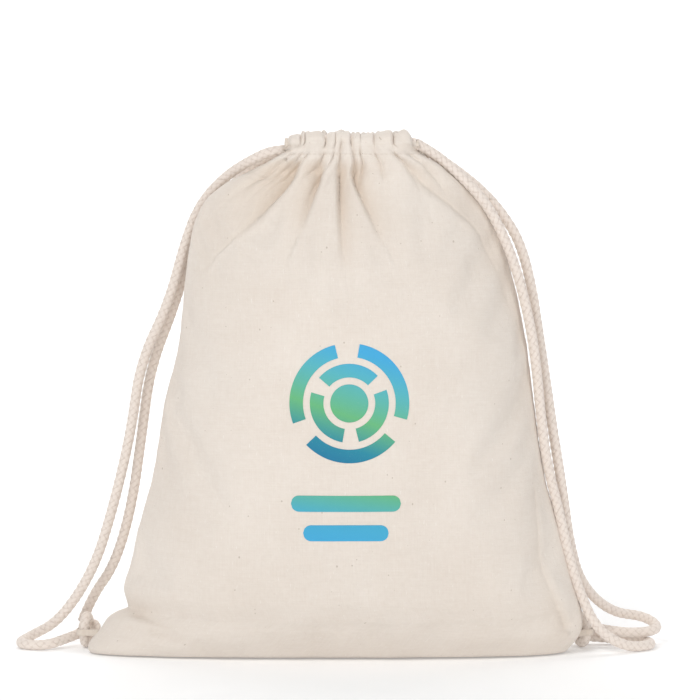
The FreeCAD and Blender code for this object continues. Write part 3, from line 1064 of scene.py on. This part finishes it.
def cloth_object(name, grid, side, hollow=None, thickness=0.55):
    """A sheet of cloth from a grid in mm, with its UV map in metres of cloth. Its fourth argument, if given,
    is how deep in a fold each point lies, from 0 to 1, and sets the painted shade in the folds."""
    columns = grid.shape[1]
    faces = flipped(grid_faces(*grid.shape[:2]), side > 0)
    obj = add_object(name, grid.reshape(-1, 3) * MM, faces, cloth)
    # how deep in a fold each point lies, for the painted shade in the folds
    if hollow is not None:
        write_values(obj, "hollow", hollow)
    across = np.array([distances_along(row) for row in grid])
    across = across - across[:, columns // 2: columns // 2 + 1]
    up = distances_along(grid[:, columns // 2])
    flat = np.stack([across.ravel(), np.repeat(up, columns)], axis=1) * MM
    write_uv(obj, flat + (0.0 if side < 0 else BACK_UV))
    add_thickness(obj, thickness, -1)
    return obj


# ---------- settling the cloth

SETTLE_STEP = 3             # the cloth is settled on every third row and column
SETTLE_FRAMES = 22
SETTLE_MOST = 6.0           # the furthest that settling moves the cloth
SETTLE_SCALE = 0.01         # 100 mm is one unit while the cloth settles
SETTLE_GRAVITY = 0.35
LEAST_HELD = 0.02           # points held less than this are free
SETTLE_CLOTH = {
    "quality": 6,
    "mass": 0.25,
    "tension_stiffness": 25,
    "compression_stiffness": 25,
    "shear_stiffness": 12,
    "bending_stiffness": 0.6,
    "tension_damping": 15,
    "compression_damping": 15,
    "shear_damping": 15,
    "air_damping": 3,
    "vertex_group_mass": "held",
    "shrink_min": -0.012,
    "use_pressure": True,
    "uniform_pressure_force": 0.35,
}


def held_share(grid):
    """How firmly each point is held: fully at the seams, the floor and the neck."""
    below = np.maximum(NECK_Z - grid[:, :, 2], 0)
    columns = np.arange(grid.shape[1])
    to_seam = np.minimum(columns, columns[::-1])[None, :] * SETTLE_STEP / 10.0
    free = smooth_step((below - 6) / 45) * smooth_step(grid[:, :, 2] / 18) * smooth_step(to_seam)
    return 1 - free


def spread(values, at, count, axis):
    """Values at some of a grid's rows or columns, spread over all of them."""
    return np.apply_along_axis(lambda line: np.interp(np.arange(count), at, line), axis, values)


def simulated(coarse, faces):
    """Where the coarse grid's points come to rest in Blender's cloth simulation, in mm."""
    mesh = bpy.data.meshes.new("settling cloth")
    mesh.from_pydata([tuple(p) for p in coarse.reshape(-1, 3) * SETTLE_SCALE], [], faces)
    obj = bpy.data.objects.new("settling cloth", mesh)
    bpy.context.collection.objects.link(obj)
    group = obj.vertex_groups.new(name="held")
    for n, share in enumerate(held_share(coarse).ravel()):
        if share > LEAST_HELD:
            group.add([n], float(share) ** 3, "REPLACE")
    cloth_sim = obj.modifiers.new("settling", "CLOTH")
    for name, value in SETTLE_CLOTH.items():
        setattr(cloth_sim.settings, name, value)
    cloth_sim.settings.effector_weights.gravity = SETTLE_GRAVITY
    cloth_sim.collision_settings.use_collision = False
    cloth_sim.point_cache.frame_start = 1
    cloth_sim.point_cache.frame_end = SETTLE_FRAMES
    scene = bpy.context.scene
    for frame in range(1, SETTLE_FRAMES + 1):
        scene.frame_set(frame)
    shape = obj.evaluated_get(bpy.context.evaluated_depsgraph_get())
    placed = np.array([tuple(v.co) for v in shape.data.vertices]) / SETTLE_SCALE
    scene.frame_set(1)
    bpy.data.objects.remove(obj)
    bpy.data.meshes.remove(mesh)
    return placed.reshape(coarse.shape)


def settled(grid, side):
    """The panel after its cloth has sagged and wrinkled between its seams, floor and neck."""
    rows = list(range(FLOOR_ROWS, len(grid) - CHANNEL_ROWS, SETTLE_STEP))
    columns = list(range(0, COLUMNS, SETTLE_STEP))
    coarse = grid[rows][:, columns]
    placed = simulated(coarse, flipped(grid_faces(len(rows), len(columns)), side > 0))
    moved = placed - coarse
    length = np.linalg.norm(moved, axis=2)[:, :, None]
    moved *= np.minimum(1, SETTLE_MOST / np.maximum(length, 1e-6))
    moved *= (1 - held_share(coarse))[:, :, None]
    moved = spread(moved, columns, COLUMNS, 1)
    moved = spread(moved, rows, len(grid), 0)
    for _ in range(2):
        moved[1:-1, 1:-1] = (moved[1:-1, 1:-1] * 2 + moved[:-2, 1:-1] + moved[2:, 1:-1]
                             + moved[1:-1, :-2] + moved[1:-1, 2:]) / 6
    result = grid + moved
    result[:, :, 2] = np.maximum(result[:, :, 2], FLOOR_Z)
    return result


front_grid, front_painted_fold_shade = folded_panel(-1)
back_grid, back_painted_fold_shade = folded_panel(1)
front_grid = settled(front_grid, -1)
back_grid = settled(back_grid, 1)
front = cloth_object("front_panel_cloth", front_grid, -1, front_painted_fold_shade)
back = cloth_object("back_panel_cloth", back_grid, 1, back_painted_fold_shade)
for obj, node in ((front, "front_panel"), (back, "back_panel")):
    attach(obj, "bag")
    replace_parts(obj, node)

# ---------- drawcord channels

def channel_grid(side):
    """The turned-in hem of one channel, from the top of its fold. It starts on the panel's last row."""
    x = np.linspace(MOUTH_LEFT, MOUTH_RIGHT, COLUMNS)
    rows = []
    section = channel_section()
    directions = section_directions()
    for n in range(CHANNEL_ROWS - 1, len(section)):
        y, z = section[n]
        rows.append(gathered_row(side, level_row(x, np.full(COLUMNS, side * y), z), *directions[n], n))
    return np.array(rows)


front_channel_grid = channel_grid(-1)
back_channel_grid = channel_grid(1)
for side, grid, name in ((-1, front_channel_grid, "front_channel"), (1, back_channel_grid, "back_channel")):
    channel = cloth_object(name + "_cloth", grid, side, thickness=0.6)
    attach(channel, "bag")
    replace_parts(channel, name)

# ---------- stitches and hems


def thread_tube(points, radius=0.3, around=7):
    """Points and faces of one stitch along a line in mm, rounded off at both ends."""
    points = np.array(points, float)
    distance = np.full((len(points), around), radius)
    distance[[0, -1]] *= 0.45
    corners = tube_points(points, distance, (0.3, 0.2, 0.9))
    faces = grid_faces(len(points), around, closed=True)
    faces.append(tuple(reversed(range(around))))
    last = (len(points) - 1) * around
    faces.append(tuple(range(last, last + around)))
    return corners, faces


def stitch_object(name, stitches, radius=0.3):
    corners, faces = joined([thread_tube(line, radius) for line in stitches])
    obj = add_object(name, np.array(corners) * MM, faces, thread)
    return obj


def stitches_on_rows(grid, row, side, length=2.6, gap=1.0, lift=0.25, margin=3):
    """Stitches that follow one row of a cloth grid, sunk a little at their ends."""
    line = grid[row, margin:-margin]
    whole = distances_along(line)[-1]
    bow = np.sin(np.linspace(0, np.pi, 6))
    stitches = []
    start = 0.5
    while start + length < whole:
        points = places_at(line, np.linspace(start, start + length, 6))
        points[:, 1] += side * (lift * bow - 0.1)
        stitches.append(points)
        start += length + gap
    return stitches


for side, grid, name in ((-1, front_grid, "front"), (1, back_grid, "back")):
    middle = grid[:, 34:-34]
    stitches = stitches_on_rows(middle, len(grid) - CHANNEL_ROWS + 1, side)
    stitching = stitch_object(name + "_channel_stitches", stitches)
    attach(stitching, "bag")
    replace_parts(stitching, name + "_channel_stitching")


HEM_ROUND = 8               # points round the rolled edge of a hem


def slit_hem(name, column, out):
    """The turned hem round both channels' ends at one side opening."""
    rings = []
    angle = 2 * np.pi * np.arange(HEM_ROUND) / HEM_ROUND
    for panel, grid in ((front_grid, front_channel_grid), (back_grid, back_channel_grid)):
        outer = panel[len(panel) - CHANNEL_ROWS + 6:, column]
        line = np.concatenate([outer, grid[1:, column]]) + np.array([out * 0.2, 0, 0])
        line = resample(line, 1.2)
        away = line - line.mean(axis=0)
        away[:, 0] = 0
        away = unit(away)[:, None, :]
        tube = line[:, None, :] + away * (0.8 * np.cos(angle) - 0.2)[None, :, None]
        tube[:, :, 0] += 1.3 * np.sin(angle)
        count = len(line) * HEM_ROUND
        faces = [tuple(i % count for i in face) for face in grid_faces(len(line) + 1, HEM_ROUND, closed=True)]
        rings.append((tube.reshape(-1, 3), faces))
    corners, faces = joined(rings)
    obj = add_object(name, np.array(corners) * MM, faces, tape)
    write_uv(obj, np.array(corners)[:, [1, 2]] * MM)
    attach(obj, "bag")
    return obj


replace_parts(slit_hem("left_slit_hem", 0, -1), "left_slit_hems")
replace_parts(slit_hem("right_slit_hem", -1, 1), "right_slit_hems")

# ---------- the print

PRINT_X = 11.0
PRINT_Z = 197.0
PRINT_RADIUS = 44.0
RING_WIDTH = 10.0
RING_PITCH = 15.0
RING_GAP = 24.0
BAR_HEIGHT = 12.0
BAR_ROWS = [(-32, 49, 123), (-23, 40, 101)]
INK_LIFT = 0.18
INK_ROWS = 9                # rows of points across a ring or a bar
BAR_COLUMNS = 90
RING_PARTS = 3
RING_STARTS = (80, 20)      # degrees at which the first gap of each ring starts
RING_COLOURS = [
    (0.0, INK_NAVY),
    (0.22, (0.03, 0.25, 0.35)),
    (0.42, INK_GREEN),
    (0.66, (0.10, 0.44, 0.50)),
    (0.85, INK_BLUE),
]
BAR_COLOURS = [(0.0, INK_BLUE), (0.45, (0.07, 0.40, 0.60)), (1.0, INK_GREEN)]


def printed_patch(rows, columns, place):
    """A patch of ink from a grid of (x, z) places laid on the front of the bag."""
    points = []
    for r in range(rows):
        for c in range(columns):
            x, z = place(r / (rows - 1), c / (columns - 1))
            hit = surface.ray_cast(Vector((x * MM, -0.3, z * MM)), Vector((0, 1, 0)))[0]
            points.append((hit.x, hit.y - INK_LIFT * MM, hit.z))
    return points, grid_faces(rows, columns)


def printed_object(name, patches, material):
    corners, faces = joined(patches)
    obj = add_object(name, corners, faces, material)
    flat = np.array(corners)[:, [0, 2]]
    lowest, highest = flat.min(axis=0), flat.max(axis=0)
    write_uv(obj, (flat - lowest) / (highest - lowest))
    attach(obj, "bag")
    return obj


def ring_arc(radius, width, start, sweep):
    def place(r, c):
        angle = math.radians(start + sweep * c)
        distance = radius - width * (1 - r)
        return PRINT_X + distance * math.cos(angle), PRINT_Z + distance * math.sin(angle)
    return printed_patch(INK_ROWS, int(sweep / 2), place)


def rounded_bar(left, right, middle):
    radius = BAR_HEIGHT / 2

    def place(r, c):
        x = left + (right - left) * c
        from_end = min(x - left, right - x, radius)
        half = math.sqrt(max(radius**2 - (radius - from_end) ** 2, 0.0)) + 0.02
        return x, middle + half * (2 * r - 1)
    return printed_patch(INK_ROWS, BAR_COLUMNS, place)


surface = BVHTree.FromObject(front, bpy.context.evaluated_depsgraph_get())
arcs = []
part = 360 / RING_PARTS
for n, first_gap in enumerate(RING_STARTS):
    for k in range(RING_PARTS):
        start = first_gap + RING_GAP + part * k
        arcs.append(ring_arc(PRINT_RADIUS - n * RING_PITCH, RING_WIDTH, start, part - RING_GAP))
dot_radius = PRINT_RADIUS - len(RING_STARTS) * RING_PITCH
arcs.append(ring_arc(dot_radius, dot_radius - 0.05, 0, 360))
ring_ink = print_material("print_gradient", RING_COLOURS)
bar_ink = print_material("print_blue", BAR_COLOURS)
rings = printed_object("printed_ring_mark", arcs, ring_ink)
bars = printed_object("printed_bar_mark", [rounded_bar(*row) for row in BAR_ROWS], bar_ink)
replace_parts(rings, "printed_rings")
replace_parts(bars, "printed_bars")

# ---------- seams inside the bag


def seam_allowance(name, line, node, inwards):
    """The two trimmed edges of cloth inside a seam, overlocked with thread."""
    steps = np.arange(len(line))
    layers = []
    for layer in (-1, 1):
        sheet = []
        for share in np.linspace(0.0, 1.0, 6):
            wave = 1.3 * share * np.sin(steps * 0.35 + layer) + 0.8 * share * np.sin(steps * 0.13)
            place = line + np.array(inwards) * (1.2 + 6.4 * share)
            place[:, 1] += layer * (0.35 + 0.5 * share) + wave
            sheet.append(place)
        layers.append((np.concatenate(sheet), grid_faces(len(sheet), len(line))))
    corners, faces = joined(layers)
    corners = np.array(corners) * MM
    obj = add_object(name, corners, faces, tape)
    write_uv(obj, corners[:, [0, 2]] + corners[:, [1, 1]])
    add_thickness(obj, 0.4, -1)
    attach(obj, "bag")
    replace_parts(obj, node)
    return obj


def overlock(name, line, inwards):
    """Overlock thread that wraps the trimmed edges of a seam."""
    zigzag = []
    for n, place in enumerate(resample(line, 1.3)):
        reach = 8.2 if n % 2 else 4.4
        zigzag.append(place + np.array(inwards) * reach + np.array([0, 1.3 if n % 4 < 2 else -1.3, 0]))
    obj = stitch_object(name, [zigzag], 0.25)
    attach(obj, "bag")
    return obj


left_line = front_grid[FLOOR_ROWS + 2:-CHANNEL_ROWS, 0]
right_line = front_grid[FLOOR_ROWS + 2:-CHANNEL_ROWS, -1]
bottom_line = front_grid[0, 2:-2] + np.array([0, 0, 0.6])
# name, line, node, way in, and how many points at each end have no overlock
seams = (
    ("left_seam", left_line, "left_side_seam", (1.0, 0, 0), 4, 0),
    ("right_seam", right_line, "right_side_seam", (-1.0, 0, 0), 4, 0),
    ("bottom_seam", bottom_line, "bottom_seam", (0, 0, 1.0), 6, 6),
)
for name, line, node, inwards, _, _ in seams:
    seam_allowance(name + "_allowance", line, node, inwards)
for name, line, _, inwards, first, last in seams:
    overlock(name + "_overlock", line[first:len(line) - last], inwards)

# ---------- corner tabs


def tab_edge(tab):
    """The side a tab is on, and how far out the bag's edge is there."""
    out = math.copysign(1, tab.x)
    return out, abs(front_grid[FLOOR_ROWS + 8, 0 if out < 0 else -1, 0]) - 1.5


def corner_tab(name, tab, node):
    """A loop of cotton tape, doubled round the cord and sewn into the side seam."""
    out, edge = tab_edge(tab)
    radius = TAB_BORE + CLOTH / 2
    outline = [(edge - 9, 0.6), (edge - 3, 0.8), (edge + 1.5, 1.2)]
    start = math.atan2(1.5 - tab.y, edge + 3 - abs(tab.x))
    for angle in np.linspace(start + 0.5, start + 2 * math.pi - 0.5, 45):
        outline.append((abs(tab.x) + radius * math.cos(angle), tab.y + radius * math.sin(angle)))
    outline += [(edge + 1.2, 3.2), (edge - 3, 2.4), (edge - 9, 2.0)]
    line = resample([(x, y, 0) for x, y in outline], 0.8)
    corners, flat = [], []
    for ring, place in enumerate(line):
        for rib in range(TAB_RIBS):
            z = TAB_Z + TAB_SHOWN * (rib / (TAB_RIBS - 1) - 0.5)
            corners.append((out * place[0], place[1], z))
            flat.append((ring * 0.8 * MM, rib * MM))
    faces = flipped(grid_faces(len(line), TAB_RIBS), out < 0)
    obj = add_object(name, np.array(corners) * MM, faces, tape)
    write_uv(obj, flat)
    solid = obj.modifiers.new("tape thickness", "SOLIDIFY")
    solid.thickness = 1.1 * MM
    solid.offset = 0
    bevel = obj.modifiers.new("soft edges", "BEVEL")
    bevel.width = 0.3 * MM
    bevel.segments = 2
    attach(obj, "bag")
    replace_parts(obj, node)
    return obj


def tab_stitches(name, tab, node):
    out, edge = tab_edge(tab)
    bars = []
    for up in np.linspace(-1.8, 1.8, 5):
        for face, facing in ((-0.4, -1), (4.0, 1)):
            bar = []
            for t in np.linspace(0, 1, 5):
                bow = facing * 0.35 * math.sin(math.pi * t)
                bar.append((out * (edge - 0.6 + 1.1 * t), face + bow, tab.z + up))
            bars.append(bar)
    obj = stitch_object(name, bars, 0.28)
    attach(obj, "bag")
    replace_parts(obj, node)


for side, tab in (("left", LEFT_TAB), ("right", RIGHT_TAB)):
    corner_tab(side + "_tab_loop", tab, side + "_corner_tab")
    tab_stitches(side + "_tab_bar_tack", tab, side + "_tab_stitching")

# ---------- floor and light, in metres

FLOOR_FRONT = -3.0
FLOOR_BACK = 1.4
FLOOR_CURVE = 0.9           # radius of the curve up into the backdrop
FLOOR_HALF_WIDTH = 4.0
FLOOR_GLOW = 0.14
BACKDROP_TOP = 3.2
WORLD_LIGHT = 0.445
# name, place, target, size and power
LIGHTS = [
    ("key", (-0.9, -1.5, 1.8), (0, 0, 0.2), (0.8, 0.8), 18),
    ("right_fill", (2.0, -1.2, 0.7), (0, 0, 0.2), (1.0, 1.0), 7),
    ("low_fill", (0.1, -2.0, 0.45), (0, 0, 0.15), (1.4, 0.5), 6.5),
    ("backdrop_light", (0, 1.0, 1.9), (0, 1.6, 0.3), (2.4, 0.6), 22),
]


def add_floor():
    """A pale floor that curves up into a backdrop."""
    material, tree, shader = new_material("studio_paper")
    grain = noise_node(tree, object_coordinates(tree), 40, 3)
    base = ramp_node(tree, grain, [(0.3, (0.92, 0.92, 0.92)), (0.7, (0.94, 0.94, 0.94))])
    shader.inputs["Emission Color"].default_value = (1, 1, 1, 1)
    finish_shader(tree, shader, base, roughness=0.9, specular=0.05, glow=FLOOR_GLOW)
    line = [(FLOOR_FRONT, 0.0), (FLOOR_BACK, 0.0)]
    for angle in np.linspace(0, math.pi / 2, 17)[1:]:
        line.append((FLOOR_BACK + FLOOR_CURVE * math.sin(angle), FLOOR_CURVE - FLOOR_CURVE * math.cos(angle)))
    line.append((FLOOR_BACK + FLOOR_CURVE, BACKDROP_TOP))
    points = [(x, y, z) for y, z in line for x in (-FLOOR_HALF_WIDTH, FLOOR_HALF_WIDTH)]
    floor = add_object("studio_floor", points, grid_faces(len(line), 2), material)


def add_area_light(name, place, target, size, power):
    data = bpy.data.lights.new(name, "AREA")
    data.shape = "RECTANGLE"
    data.size, data.size_y = size
    data.energy = power
    light = bpy.data.objects.new(name, data)
    light.location = place
    direction = Vector(target) - Vector(place)
    light.rotation_euler = direction.to_track_quat("-Z", "Y").to_euler()
    bpy.context.collection.objects.link(light)


def add_world(strength):
    world = bpy.data.worlds.new("soft_room")
    world.use_nodes = True
    background = world.node_tree.nodes["Background"]
    background.inputs["Color"].default_value = (1, 1, 1, 1)
    background.inputs["Strength"].default_value = strength
    bpy.context.scene.world = world


add_floor()
add_world(WORLD_LIGHT)
for light in LIGHTS:
    add_area_light(*light)
bpy.context.scene.view_settings.view_transform = "Standard"
